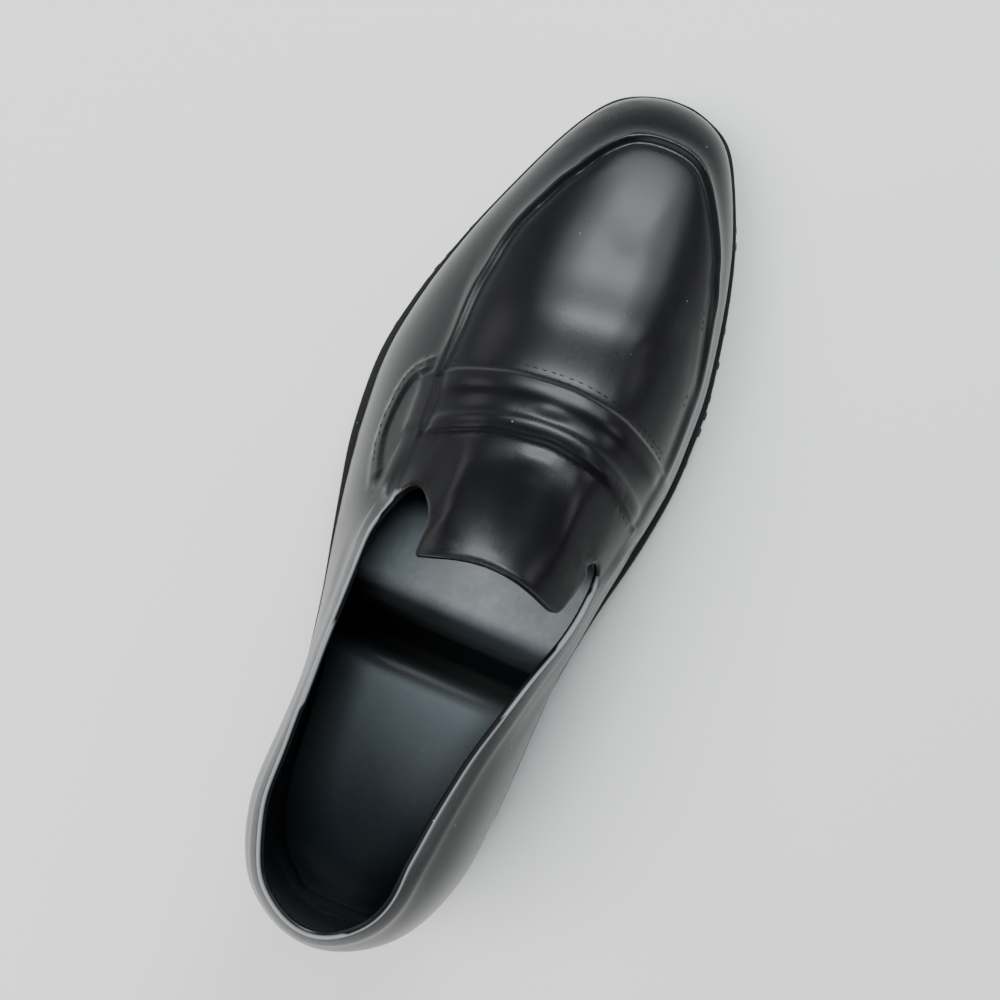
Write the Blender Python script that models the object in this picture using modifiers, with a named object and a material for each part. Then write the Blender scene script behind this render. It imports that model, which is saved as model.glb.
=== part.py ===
"""A moulded rubber overshoe in the form of a penny loafer, left foot.

The shoe stands on the ground plane with its toe towards +X, its outer side towards +Y and +Z up.
The origin is on the ground under the middle of the heel. All sizes are in metres.
"""

import math
from collections import namedtuple

import bmesh
import bpy
import numpy as np

# Overall sizes of the shoe
LENGTH = 0.300
BALL_WIDTH = 0.113
HEEL_MIDDLE = 0.040
HEEL_HEIGHT = 0.0255
INSTEP_HEIGHT = 0.0775
COLLAR_HEIGHT = 0.086

# Rubber thicknesses and clearances
WALL = 0.0022
WELT_WIDTH = 0.0030
WELT_THICKNESS = 0.0036
PAD_THICKNESS = 0.0040
INSOLE_THICKNESS = 0.0016
GAP = 0.0003
INSOLE_SIDE_GAP = 0.0006
SOLE_EDGE_ROUND = 0.0006
NARROWEST = 0.0010
SLOPED_WALL = 1.4

# The loafer's raised forms on the upper
FEATHER_STRIP = 0.0012
SEAM_RISE = 0.0014
APRON_SINK = 0.0006
SEAM_WIDTH = 0.0027
STRAP_RISE = 0.0010
STRAP_RECESS = 0.0007
BORDER_STEP = 0.0014
COLLAR_BAND = 0.0066
COLLAR_BAND_RISE = 0.0006
TONGUE_FLARE = 0.0020
HEEL_BULGE = 0.0014

# How much of its belly the outer quarter's wall loses, and from where to where along the shoe
QUARTER_STRAIGHT = 0.65
QUARTER_FROM = 0.110
QUARTER_FULL = 0.230

# Heel and tread
HEEL_FLOOR = 0.0075
RISER_RUN = 0.011
HEEL_TAPER = 0.0015
TREAD_INSET = 0.0012
TREAD_PITCH = 0.0062
TREAD_GROOVE = 0.0024
TREAD_DEPTH = 0.0016

# Places along the shoe, as shares of its length, and short ways from a place or an end
HEEL_BREAST_AT = 0.307
FOREFOOT_TREAD_FROM = 0.425
FOREFOOT_TREAD_TO = 0.988
HEEL_TREAD_FROM = 0.022
INSOLE_TOE_AT = 0.978
BREAST_STEP = 0.004
BREAST_CLEAR = 0.006
INSOLE_END = 0.004
POCKET_END = 0.002
SOLE_END = 0.0008
BAR_SLOPE = 0.0008

# Plan of the sole: distances from the line through heel and toe, as shares of the ball width
Plan = namedtuple("Plan", "at lateral medial")
SOLE_PLAN = (
    Plan(0.00, 0.000, 0.000),
    Plan(0.05, 0.236, 0.248),
    Plan(0.12, 0.296, 0.312),
    Plan(0.20, 0.322, 0.325),
    Plan(0.30, 0.376, 0.330),
    Plan(0.40, 0.452, 0.368),
    Plan(0.50, 0.523, 0.424),
    Plan(0.59, 0.549, 0.451),
    Plan(0.66, 0.527, 0.449),
    Plan(0.74, 0.476, 0.420),
    Plan(0.84, 0.385, 0.358),
    Plan(0.93, 0.282, 0.262),
    Plan(0.975, 0.196, 0.190),
    Plan(1.00, 0.000, 0.000),
)

# Side view: the feather line where upper and sole meet, the underside of the sole and the ground
# line of the tread, as shares of the heel height
Side = namedtuple("Side", "at feather underside")
SOLE_SIDE = (
    Side(0.00, 1.00, 0.165),
    Side(0.28, 0.96, 0.165),
    Side(0.36, 0.86, 0.680),
    Side(0.44, 0.69, 0.440),
    Side(0.52, 0.49, 0.185),
    Side(0.60, 0.37, 0.165),
    Side(0.68, 0.333, 0.165),
    Side(0.73, 0.340, 0.171),
    Side(0.80, 0.385, 0.215),
    Side(0.88, 0.455, 0.300),
    Side(0.94, 0.530, 0.385),
    Side(1.00, 0.620, 0.480),
)

# The last: height of its crest, which is open above the foot behind the tongue, as a share of the
# instep height, its shift towards the inner side as a share of the ball width, and how square
# each side is, from 1 for a straight slope to 3 for an upright wall
Last = namedtuple("Last", "at crest shift square_lateral square_medial")
LAST = (
    Last(0.00, 1.52, 0.000, 2.3, 2.3),
    Last(0.10, 1.27, 0.000, 2.2, 2.2),
    Last(0.20, 1.16, 0.004, 2.1, 2.2),
    Last(0.30, 1.11, 0.026, 1.8, 2.3),
    Last(0.37, 1.08, 0.053, 1.55, 2.4),
    Last(0.44, 1.00, 0.070, 1.45, 2.4),
    Last(0.50, 0.925, 0.068, 1.50, 2.3),
    Last(0.56, 0.850, 0.062, 1.60, 2.3),
    Last(0.62, 0.765, 0.053, 1.75, 2.3),
    Last(0.70, 0.672, 0.040, 2.00, 2.3),
    Last(0.78, 0.595, 0.027, 2.25, 2.4),
    Last(0.87, 0.535, 0.013, 2.40, 2.5),
    Last(1.00, 0.480, 0.000, 2.50, 2.5),
)
CROWN = 2.2
LEAN_CURVE = 1.6
TOE_CENTRE_AT = 0.750
HEEL_CENTRE_AT = 0.133

# The collar's height along the shoe, as a share of its height at the back of the heel, and how far
# its edge is drawn in over the foot on each side, as a share of the ball width
Collar = namedtuple("Collar", "at lateral medial in_lateral in_medial")
COLLAR = (
    Collar(0.00, 1.000, 1.000, 0.010, 0.010),
    Collar(0.05, 0.992, 0.992, -0.008, 0.034),
    Collar(0.12, 0.950, 0.950, -0.026, 0.058),
    Collar(0.20, 0.890, 0.885, -0.034, 0.060),
    Collar(0.28, 0.830, 0.810, -0.026, 0.038),
    Collar(0.36, 0.770, 0.705, -0.012, 0.008),
    Collar(0.44, 0.722, 0.616, 0.000, 0.000),
)

# The moccasin seam on the vamp: its distance from the crest as a share of the way to the feather
Seam = namedtuple("Seam", "at lateral medial")
SEAM = (
    Seam(0.44, 0.620, 0.860),
    Seam(0.50, 0.615, 0.880),
    Seam(0.56, 0.620, 0.885),
    Seam(0.64, 0.650, 0.885),
    Seam(0.73, 0.680, 0.860),
    Seam(0.80, 0.680, 0.815),
    Seam(0.86, 0.670, 0.765),
    Seam(0.92, 0.680, 0.700),
    Seam(1.00, 0.690, 0.690),
)

# Rows across the vamp, from the throat of the notches forwards: where each row meets the side of
# the apron and the crest, and what the row marks
Row = namedtuple("Row", "side crest marks")
THROAT_AT = 0.414
VAMP_ROWS = (
    Row(0.414, 0.452, "throat"),
    Row(0.446, 0.490, "crease"),
    Row(0.485, 0.521, "strap rear outside"),
    Row(0.490, 0.526, "strap rear inside"),
    Row(0.502, 0.538, "recess rear outside"),
    Row(0.506, 0.542, "recess rear inside"),
    Row(0.530, 0.560, "recess front inside"),
    Row(0.534, 0.564, "recess front outside"),
    Row(0.551, 0.580, "strap front inside"),
    Row(0.556, 0.585, "strap front outside"),
    Row(0.578, 0.604, "vamp"),
    Row(0.605, 0.628, "vamp"),
    Row(0.635, 0.653, "vamp"),
    Row(0.664, 0.678, "vamp"),
    Row(0.693, 0.703, "vamp"),
    Row(0.722, 0.727, "vamp"),
    Row(0.750, 0.750, "vamp"),
)
TONGUE_ROWS = (
    Row(0.416, 0.434, "tongue"),
    Row(0.404, 0.420, "tongue"),
    Row(0.388, 0.405, "tongue"),
    Row(0.367, 0.387, "tongue end"),
)
TONGUE_BASE = 0.0255
TONGUE_END = 0.0215
TONGUE_CORNER = 0.0012
NOTCH_DEPTH = 0.0040

# Shares across the apron, from its side to the inner side of the notch, and columns from there
SIDE_SHARES = (0.000, 0.018, 0.042, 0.072, 0.108)
TONGUE_COLUMNS = 10

# Mesh counts
HEEL_FAN = 7
QUARTER_COLUMNS = 9
TOE_COLUMNS = 12
WALL_RINGS = 7
SECTION_POINTS = 60
HEEL_STATIONS = 16
SOLE_STATIONS = 34
POCKET_STATIONS = 12
SHANK_STATIONS = 22

# Colours, roughness and metallic value of the rubbers
UPPER_RUBBER = ((0.018, 0.019, 0.021, 1.0), 0.36, 0.0)
SOLE_RUBBER = ((0.020, 0.021, 0.023, 1.0), 0.48, 0.0)
TREAD_RUBBER = ((0.012, 0.012, 0.013, 1.0), 0.62, 0.0)
INSOLE_RUBBER = ((0.030, 0.036, 0.042, 1.0), 0.40, 0.0)


def smooth_curve(shares, values, share):
    """The value at a share of the length, on a smooth curve through the table's rows."""
    shares = np.asarray(shares, float)
    values = np.asarray(values, float)
    share = min(max(share, shares[0]), shares[-1])
    k = min(int(np.searchsorted(shares, share, side="right")) - 1, len(shares) - 2)
    step = np.diff(shares)
    slope = np.diff(values) / step
    tangent = np.empty(len(shares))
    tangent[0], tangent[-1] = slope[0], slope[-1]
    for i in range(1, len(shares) - 1):
        same_way = slope[i - 1] * slope[i] > 0
        weight = step[i] + 2 * step[i - 1], 2 * step[i] + step[i - 1]
        mean = sum(weight) / (weight[0] / slope[i - 1] + weight[1] / slope[i]) if same_way else 0.0
        tangent[i] = mean
    t = (share - shares[k]) / step[k]
    rise = values[k] * (1 + 2 * t) * (1 - t) ** 2 + values[k + 1] * t * t * (3 - 2 * t)
    lean = tangent[k] * t * (1 - t) ** 2 - tangent[k + 1] * t * t * (1 - t)
    return float(rise + lean * step[k])


def column_of(table, name, at):
    """A named column of a table at a share of the length."""
    return smooth_curve([row.at for row in table], [getattr(row, name) for row in table], at)


def share_of(x):
    return (x + HEEL_MIDDLE) / LENGTH


def place_of(at):
    return at * LENGTH - HEEL_MIDDLE


def sole_half_width(at, side):
    """Half width of the sole's edge; squares are interpolated, so heel and toe come out round."""
    name = "lateral" if side > 0 else "medial"
    squares = [getattr(row, name) ** 2 for row in SOLE_PLAN]
    return BALL_WIDTH * math.sqrt(max(smooth_curve([row.at for row in SOLE_PLAN], squares, at), 0))


def welt_width(at):
    """The welt stands out along the forefoot and nearly dies away round the heel."""
    fade = min(max((at - 0.34) / 0.16, 0.0), 1.0)
    return WELT_WIDTH * (0.35 + 0.65 * fade * fade * (3 - 2 * fade))


def feather_height(at):
    return HEEL_HEIGHT * column_of(SOLE_SIDE, "feather", at)


def underside_height(at):
    return HEEL_HEIGHT * column_of(SOLE_SIDE, "underside", at)


def feather_half_width(at, side):
    """Half width of the upper's lower edge, which stands inside the sole's edge."""
    reach = LENGTH - 2 * welt_width(at)
    inner = min(max((at * LENGTH - welt_width(at)) / reach, 0.0), 1.0)
    narrowing = 1 - 2 * welt_width(at) / BALL_WIDTH
    return sole_half_width(inner, side) * narrowing


def crest_shift(at):
    return -BALL_WIDTH * column_of(LAST, "shift", at)


def crest_height(at):
    return INSTEP_HEIGHT * column_of(LAST, "crest", at)


def last_centre(at):
    """The point of the crest that a column of the last runs to, which stops short of both ends."""
    at = min(max(at, HEEL_CENTRE_AT), TOE_CENTRE_AT)
    return np.array((place_of(at), crest_shift(at)))


def last_height(x, y, out):
    """Height of the last above a point in plan that lies a share out from crest to feather."""
    at = share_of(x)
    name = "square_lateral" if y > crest_shift(at) else "square_medial"
    square = column_of(LAST, name, at)
    feather = feather_height(at)
    rise = max(1 - min(out, 1.0) ** CROWN, 0.0) ** (1 / square)
    return feather + (crest_height(at) - feather) * rise


def share_out(x, y):
    """How far out a point in plan lies, from 0 at the crest to 1 at the feather line."""
    at = share_of(x)
    if HEEL_CENTRE_AT <= at <= TOE_CENTRE_AT:
        middle = crest_shift(at)
        side = 1 if y > middle else -1
        return (y - middle) / (side * feather_half_width(at, side) - middle)
    centre = last_centre(at)
    ray = np.array((x, y)) - centre
    low, high = 1.0, 60.0
    for _ in range(44):
        middle = (low + high) / 2
        px, py = centre + ray * middle
        edge = feather_half_width(share_of(px), 1 if py > 0 else -1)
        inside = 0 < share_of(px) < 1 and abs(py) < edge
        low, high = (middle, high) if inside else (low, middle)
    return 1 / low


def feather_point(at, side):
    return np.array((place_of(at), side * feather_half_width(at, side)))


def end_feather_point(angle, toe):
    """The feather line's point on a ray that leaves the toe or heel centre at an angle."""
    centre = last_centre(1.0 if toe else 0.0)
    way = np.array((math.cos(angle) if toe else -math.cos(angle), math.sin(angle)))
    low, high = 0.0, LENGTH / 2
    for _ in range(40):
        middle = (low + high) / 2
        px, py = centre + way * middle
        edge = feather_half_width(share_of(px), 1 if py > 0 else -1)
        inside = 0 < share_of(px) < 1 and abs(py) < edge
        low, high = (middle, high) if inside else (low, middle)
    return centre + way * low


def bulge_out(at, rise):
    """The heel's counter swells a little beyond its feather line."""
    fade = min(max((0.42 - at) / 0.30, 0.0), 1.0)
    return HEEL_BULGE * fade * math.sin(math.pi * min(rise, 1.0))


def draw_in(at, side, rise):
    """How far the wall leans in over the foot by the time that it reaches the collar."""
    name = "in_lateral" if side > 0 else "in_medial"
    if at > COLLAR[-1].at:
        return 0.0
    return BALL_WIDTH * column_of(COLLAR, name, at) * min(max(rise, 0.0), 1.2) ** LEAN_CURVE


def wall_column(foot, centre, stop):
    """Points up the wall from the feather line to where stop(x, y, z, out) says that it ends."""
    foot_height = feather_height(share_of(foot[0]))
    points = [(foot[0], foot[1], foot_height), (foot[0], foot[1], foot_height + FEATHER_STRIP)]
    for k in range(1, SECTION_POINTS + 1):
        turn = k / SECTION_POINTS * math.pi / 2
        out = math.cos(turn) ** (2 / CROWN)
        x, y = centre + (foot - centre) * out
        z = last_height(x, y, out) + FEATHER_STRIP * out
        if z <= points[-1][2] + 1e-6:
            continue
        rise = (z - foot_height) / max(COLLAR_HEIGHT - foot_height, 1e-6)
        away = (foot - centre) / np.linalg.norm(foot - centre)
        moved = bulge_out(share_of(foot[0]), rise) - draw_in(share_of(foot[0]), foot[1], rise)
        x, y = np.array((x, y)) + away * moved
        points.append((x, y, z))
        if stop(x, y, z, out):
            break
    return np.array(points)


def straighten(points, at, side):
    """Takes part of the belly out of the outer quarter's wall, which runs up in one plain slope."""
    if side < 0:
        return points
    fade = min(max((at - QUARTER_FROM) / (QUARTER_FULL - QUARTER_FROM), 0.0), 1.0)
    foot, top = points[1], points[-1]
    share = np.clip((points[:, 2] - foot[2]) / (top[2] - foot[2]), 0.0, 1.0)[:, None]
    straight = foot[:2] + (top[:2] - foot[:2]) * share
    moved = points.copy()
    moved[1:, :2] += (straight - points[:, :2])[1:] * QUARTER_STRAIGHT * fade
    return moved


def along(points, distances):
    """Points at given distances along a line of points."""
    steps = np.linalg.norm(np.diff(points, axis=0), axis=1)
    run = np.concatenate(([0.0], np.cumsum(steps)))
    return [np.array([np.interp(d, run, points[:, k]) for k in range(3)]) for d in distances]


def ring_points(points):
    """A wall column's points, one for each ring: the rings near the top edge carry its relief."""
    total = np.linalg.norm(np.diff(points, axis=0), axis=1).sum()
    band = total - COLLAR_BAND
    step = (band - BORDER_STEP - FEATHER_STRIP) / WALL_RINGS
    lower = [FEATHER_STRIP + step * k for k in range(WALL_RINGS + 1)]
    return along(points, [0.0] + lower + [band, total - SEAM_WIDTH, total])


def collar_stop(side):
    name = "lateral" if side > 0 else "medial"
    return lambda x, y, z, out: z >= COLLAR_HEIGHT * column_of(COLLAR, name, share_of(x))


def seam_stop(side):
    name = "lateral" if side > 0 else "medial"
    return lambda x, y, z, out: out <= column_of(SEAM, name, share_of(x))


def side_columns():
    """Wall columns of one side from behind the heel centre to the toe, as (foot, centre, kind)."""
    quarter_to = THROAT_AT
    fan = [math.pi / 2 * (k / HEEL_FAN) for k in range(HEEL_FAN)]
    heel = [("collar", angle) for angle in fan]
    step = (quarter_to - HEEL_CENTRE_AT) / QUARTER_COLUMNS
    quarter = [("collar at", HEEL_CENTRE_AT + step * k) for k in range(QUARTER_COLUMNS)]
    vamp = [("seam at", row.side) for row in VAMP_ROWS]
    toe = [("seam", math.pi / 2 * (1 - k / TOE_COLUMNS)) for k in range(1, TOE_COLUMNS + 1)]
    return heel + quarter + vamp + toe


def wall_points(side):
    columns = []
    for kind, value in side_columns():
        if kind == "collar":
            foot, centre = end_feather_point(side * value, toe=False), last_centre(0.0)
        elif kind == "seam":
            foot, centre = end_feather_point(side * value, toe=True), last_centre(1.0)
        else:
            foot, centre = feather_point(value, side), last_centre(value)
        stop = collar_stop(side) if kind.startswith("collar") else seam_stop(side)
        points = wall_column(foot, centre, stop)
        if kind == "collar at":
            points = straighten(points, value, side)
        columns.append(ring_points(points))
    return columns


def on_last(x, y):
    return np.array((x, y, last_height(x, y, share_out(x, y)) + FEATHER_STRIP * share_out(x, y)))


def row_shares():
    """Shares across the apron, close together beside the seam on each side."""
    side = np.array(SIDE_SHARES)
    inside = np.linspace(side[-1], 1 - side[-1], TONGUE_COLUMNS + 1)
    return np.concatenate((side, inside[1:-1], 1 - side[::-1]))


def across(lateral, medial, crest_at):
    """A row's points in plan, swept forwards from both sides of the apron to the crest."""
    crest = np.array((place_of(crest_at), crest_shift(crest_at)))
    control = 2 * crest - (lateral[:2] + medial[:2]) / 2
    points = [
        (1 - t) ** 2 * lateral[:2] + 2 * t * (1 - t) * control + t * t * medial[:2]
        for t in row_shares()
    ]
    return points


class Shell:
    """Vertices and faces of the upper's outer skin, with the relief of each vertex."""

    def __init__(self):
        self.mesh = bmesh.new()
        self.relief = {}

    def vertex(self, point, relief=0.0):
        made = self.mesh.verts.new(point)
        self.relief[made] = relief
        return made

    def strip(self, first, second):
        """Faces between two lines of vertices; the second lies to the left of the first."""
        for a, b, c, d in zip(first, first[1:], second[1:], second):
            self.mesh.faces.new((a, b, c, d))

    def raise_relief(self):
        self.mesh.normal_update()
        moves = [(v, v.normal * rise) for v, rise in self.relief.items() if rise]
        for v, move in moves:
            v.co += move


def strap_relief(marks, seam_line=False):
    """Height of the saddle strap at a row: a raised frame round a shallow recess."""
    inside = marks in ("recess rear inside", "recess front inside")
    framed = ("strap rear inside", "recess rear outside", "recess front outside", "strap front inside")
    frame = marks in framed
    if inside and not seam_line:
        return STRAP_RISE - STRAP_RECESS
    return STRAP_RISE if frame or inside else 0.0


def wall_relief(index, ring, rings, columns):
    """Relief of a wall vertex: collar band behind the notch, strap end, then the seam's ridge."""
    kind, value = columns[index]
    top, below, band = rings - 1, rings - 2, rings - 3
    if kind.startswith("collar"):
        return COLLAR_BAND_RISE if ring >= band else 0.0
    if kind == "seam at":
        marks = VAMP_ROWS[index - HEEL_FAN - QUARTER_COLUMNS].marks
        strapped = marks not in ("vamp", "strap front outside")
        if strapped and ring < band:
            return 0.0
        if marks == "crease" and ring < top:
            return STRAP_RISE
        if strapped:
            return strap_relief(marks, seam_line=True)
    if ring == top:
        return SEAM_RISE
    return SEAM_RISE * 0.25 if ring == below else 0.0


def build_walls(shell):
    """The wall's grid of vertices: side by side, columns from heel to toe, then rings upwards."""
    columns = side_columns()
    grid = {}
    for side in (1, -1):
        grid[side] = []
        for index, points in enumerate(wall_points(side)):
            at_middle = index == 0 or index == len(columns) - 1
            if side < 0 and at_middle:
                grid[side].append(grid[1][index])
                continue
            rings = len(points)
            relief = [wall_relief(index, k, rings, columns) for k in range(rings)]
            grid[side].append([shell.vertex(p, rise) for p, rise in zip(points, relief)])
        for first, second in zip(grid[side], grid[side][1:]):
            shell.strip(first, second) if side > 0 else shell.strip(second, first)
    return grid


def top_line(grid, side, first, count):
    return [column[-1] for column in grid[side][first : first + count]]


def build_apron(shell, grid):
    """The vamp between the two seams, with the strap's rows, and the toe's fan in front."""
    first = HEEL_FAN + QUARTER_COLUMNS
    lateral = top_line(grid, 1, first, len(VAMP_ROWS) + TOE_COLUMNS)
    medial = top_line(grid, -1, first, len(VAMP_ROWS) + TOE_COLUMNS)
    rows = []
    for k, row in enumerate(VAMP_ROWS):
        plan = across(np.array(lateral[k].co), np.array(medial[k].co), row.crest)
        sunk = -APRON_SINK if row.marks == "vamp" else 0.0
        line = [lateral[k]]
        for j, (x, y) in enumerate(plan[1:-1], start=1):
            beside_seam = j in (1, len(plan) - 2)
            line.append(shell.vertex(on_last(x, y), sunk if beside_seam else strap_relief(row.marks)))
        rows.append(line + [medial[k]])
    for back, ahead in zip(rows, rows[1:]):
        shell.strip(back, ahead)
    seam = lateral[len(VAMP_ROWS) :] + medial[-2 : len(VAMP_ROWS) - 1 : -1]
    build_toe_fan(shell, rows[-1], seam)
    return rows


def build_toe_fan(shell, row, seam):
    """The apron round the toe: lines that run from the seam in to the toe's centre."""
    half = len(row) // 2
    centre = row[half]
    middle = np.array(centre.co)[:2]
    lines = [row[:half]]
    for edge in seam:
        start = np.array(edge.co)[:2]
        line = [edge]
        for j, share in enumerate(row_shares()[1:half], start=1):
            x, y = start + (middle - start) * share * 2
            line.append(shell.vertex(on_last(x, y), -APRON_SINK if j == 1 else 0.0))
        lines.append(line)
    lines.append(row[:half:-1])
    for first, second in zip(lines, lines[1:]):
        shell.strip(first, second)
        shell.mesh.faces.new((first[-1], centre, second[-1]))


def build_tongue(shell, throat):
    """The tongue's tab, which stands free behind the throat between the two notches."""
    aside = len(SIDE_SHARES) - 1
    shares = np.linspace(-1, 1, TONGUE_COLUMNS + 1)
    ahead = throat[aside:-aside]
    for k, row in enumerate(TONGUE_ROWS, start=1):
        back = k / len(TONGUE_ROWS)
        half = TONGUE_BASE + (TONGUE_END - TONGUE_BASE) * back
        last_row = k == len(TONGUE_ROWS)
        line = []
        for s in shares:
            middle = crest_shift(row.crest)
            corner = TONGUE_CORNER * (abs(s) ** 6) if last_row else 0.0
            x = place_of(row.crest + (row.side - row.crest) * s * s) + corner
            y = middle + half * s * -1
            point = on_last(x, y)
            point[2] += TONGUE_FLARE * back * back
            line.append(shell.vertex(point))
        shell.strip(line, ahead)
        ahead = line


def round_notches(throat):
    """Moves the throat's vertices forwards between each wall and the tongue, for a round notch."""
    for k, share in enumerate(SIDE_SHARES[1:-1], start=1):
        across_notch = 2 * share / SIDE_SHARES[-1] - 1
        for vertex in (throat[k], throat[-1 - k]):
            vertex.co.x += NOTCH_DEPTH * math.sqrt(1 - across_notch**2)


def material(name, rubber):
    colour, roughness, metallic = rubber
    made = bpy.data.materials.new(name)
    made.use_nodes = True
    shader = made.node_tree.nodes["Principled BSDF"]
    shader.inputs["Base Color"].default_value = colour
    shader.inputs["Roughness"].default_value = roughness
    shader.inputs["Metallic"].default_value = metallic
    made.diffuse_color = colour
    return made


def add_object(name, mesh, collection, rubber=None):
    data = bpy.data.meshes.new(name)
    mesh.to_mesh(data)
    mesh.free()
    made = bpy.data.objects.new(name, data)
    collection.objects.link(made)
    if rubber:
        data.materials.append(material(name + "_rubber", rubber))
    for face in data.polygons:
        face.use_smooth = True
    data.set_sharp_from_angle(angle=math.radians(35))
    return made


def make_upper(collection):
    shell = Shell()
    grid = build_walls(shell)
    rows = build_apron(shell, grid)
    round_notches(rows[0])
    build_tongue(shell, rows[0])
    shell.raise_relief()
    upper = add_object("upper", shell.mesh, collection, UPPER_RUBBER)
    wall = upper.modifiers.new("wall", "SOLIDIFY")
    wall.thickness = WALL
    wall.offset = -1
    wall.use_even_offset = True
    wall.use_quality_normals = True
    return upper


def loft(name, sections, collection, rubber=None):
    """A closed solid through rings of points that all have the same count."""
    mesh = bmesh.new()
    rings = [[mesh.verts.new(p) for p in ring] for ring in sections]
    for first, second in zip(rings, rings[1:]):
        for k in range(len(first)):
            after = (k + 1) % len(first)
            mesh.faces.new((first[k], first[after], second[after], second[k]))
    mesh.faces.new(rings[0][::-1])
    mesh.faces.new(rings[-1])
    bmesh.ops.recalc_face_normals(mesh, faces=mesh.faces)
    return add_object(name, mesh, collection, rubber)


def stations(first, last, count, first_round=True, last_round=True):
    """Shares of the length, closer together at an end that is round in plan."""
    made = []
    for k in range(count + 1):
        t = k / count
        if first_round and last_round:
            t = (1 - math.cos(math.pi * t)) / 2
        elif last_round:
            t = math.sin(math.pi / 2 * t)
        elif first_round:
            t = 1 - math.cos(math.pi / 2 * t)
        made.append(first + (last - first) * t)
    return made


def sole_section(at, underside):
    """A section of the outsole: welt on top, then the side drawn in towards the underside."""
    x = place_of(at)
    top = feather_height(at) - GAP
    thickness = min(WELT_THICKNESS, (top - underside) * 0.8)
    ring = []
    for side in (1, -1):
        edge = sole_half_width(at, side)
        tuck = min(HEEL_TAPER, edge * 0.3)
        half = [
            (edge * 0.5, top),
            (edge - min(SOLE_EDGE_ROUND, edge * 0.2), top),
            (edge, top - thickness * 0.3),
            (edge - tuck * 0.15, top - thickness),
            (edge - tuck, underside + (top - thickness - underside) * 0.4),
            (edge - tuck * 1.6, underside),
            (edge * 0.5, underside),
        ]
        points = [(x, side * y, z) for y, z in half]
        ring += points if side > 0 else points[::-1]
    return ring


def make_outsole(collection, cutters):
    heel = stations(SOLE_END, HEEL_BREAST_AT, HEEL_STATIONS, last_round=False)
    ahead = stations(HEEL_BREAST_AT + BREAST_STEP, 1 - SOLE_END, SOLE_STATIONS, first_round=False)
    sections = [sole_section(at, PAD_THICKNESS + GAP) for at in heel]
    sections += [sole_section(at, max(underside_height(at), PAD_THICKNESS + GAP)) for at in ahead]
    outsole = loft("outsole", sections, collection, SOLE_RUBBER)
    cut = outsole.modifiers.new("heel_pocket", "BOOLEAN")
    cut.operation = "DIFFERENCE"
    cut.solver = "EXACT"
    cut.object = make_pocket_cutter(cutters)
    return outsole


def pocket_half_width(at, side):
    return feather_half_width(at, side) - WALL


def pocket_back():
    return share_of(place_of(0.0) + welt_width(0.0) + WALL)


def make_pocket_cutter(cutters):
    """The heel's pocket, with a riser in front of it that slopes up to the shank."""
    top = HEEL_HEIGHT * 1.6
    riser = RISER_RUN / LENGTH
    sections = []
    back = pocket_back() + POCKET_END
    for at in stations(back, HEEL_BREAST_AT - riser * 0.5, POCKET_STATIONS, last_round=False):
        sections.append(pocket_section(at, HEEL_FLOOR, top))
    for k in range(1, 4):
        at = HEEL_BREAST_AT - riser * 0.5 + riser * k / 3
        floor = HEEL_FLOOR + (feather_height(at) + GAP - HEEL_FLOOR) * k / 3
        sections.append(pocket_section(at, floor, top))
    cutter = loft("pocket_cutter", sections, cutters)
    cutter.hide_render = True
    cutter.display_type = "WIRE"
    return cutter


def pocket_section(at, floor, top):
    x = place_of(at)
    lateral, medial = pocket_half_width(at, 1), pocket_half_width(at, -1)
    return [(x, lateral, floor), (x, lateral, top), (x, -medial, top), (x, -medial, floor)]


def room_half_width(at, side, height):
    """Half width of the room inside the upper's wall at a height above the ground."""
    x = place_of(at)
    low, high = 0.0, feather_half_width(at, side)
    centre = last_centre(at)
    for _ in range(24):
        middle = (low + high) / 2
        way = np.array((x, side * middle)) - centre
        outer = np.array((x, side * middle)) + way / max(np.linalg.norm(way), 1e-6) * WALL * SLOPED_WALL
        out = share_out(outer[0], outer[1]) if 0 < share_of(outer[0]) < 1 else 2.0
        inside = out < 1 and last_height(outer[0], outer[1], out) > height
        low, high = (middle, high) if inside else (low, middle)
    return low


def make_insole(collection):
    """A thin footbed that lies in the heel's pocket, climbs the riser and runs on to the toe."""
    riser = RISER_RUN / LENGTH
    foot_of_riser = HEEL_BREAST_AT - riser * 0.5
    top_of_riser = HEEL_BREAST_AT + riser * 0.5
    back = pocket_back() + INSOLE_END
    heel = stations(back, foot_of_riser - BREAST_STEP, POCKET_STATIONS, last_round=False)
    path = [(at, HEEL_FLOOR + GAP) for at in heel]
    ahead = top_of_riser - BREAST_STEP / 2
    shank = stations(ahead, INSOLE_TOE_AT, SHANK_STATIONS, first_round=False)
    path += [(at, feather_height(at) + (GAP if k else 2 * GAP)) for k, at in enumerate(shank)]
    line = np.array([(place_of(at), z) for at, z in path])
    way = np.gradient(line, axis=0)
    way /= np.linalg.norm(way, axis=1)[:, None]
    lift = np.stack((-way[:, 1], way[:, 0]), 1) * INSOLE_THICKNESS
    sections = []
    for (at, z), (dx, dz) in zip(path, lift):
        x = place_of(at)
        if at < HEEL_BREAST_AT:
            widths = [pocket_half_width(at, side) for side in (1, -1)]
        else:
            widths = [room_half_width(at, side, z + INSOLE_THICKNESS) for side in (1, -1)]
        lateral, medial = (max(width - INSOLE_SIDE_GAP, NARROWEST) for width in widths)
        under = [(x, lateral, z), (x, -medial, z)]
        over = [(x + dx, lateral, z + dz), (x + dx, -medial, z + dz)]
        sections.append([under[0], over[0], over[1], under[1]])
    return loft("insole", sections, collection, INSOLE_RUBBER)


def tread_section(at, bottom, top, inset):
    x = place_of(at)
    ring = []
    for side in (1, -1):
        edge = max(sole_half_width(at, side) - inset, NARROWEST)
        points = [(x, side * edge, top), (x, side * edge, bottom)]
        ring += points if side > 0 else points[::-1]
    return ring


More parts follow.
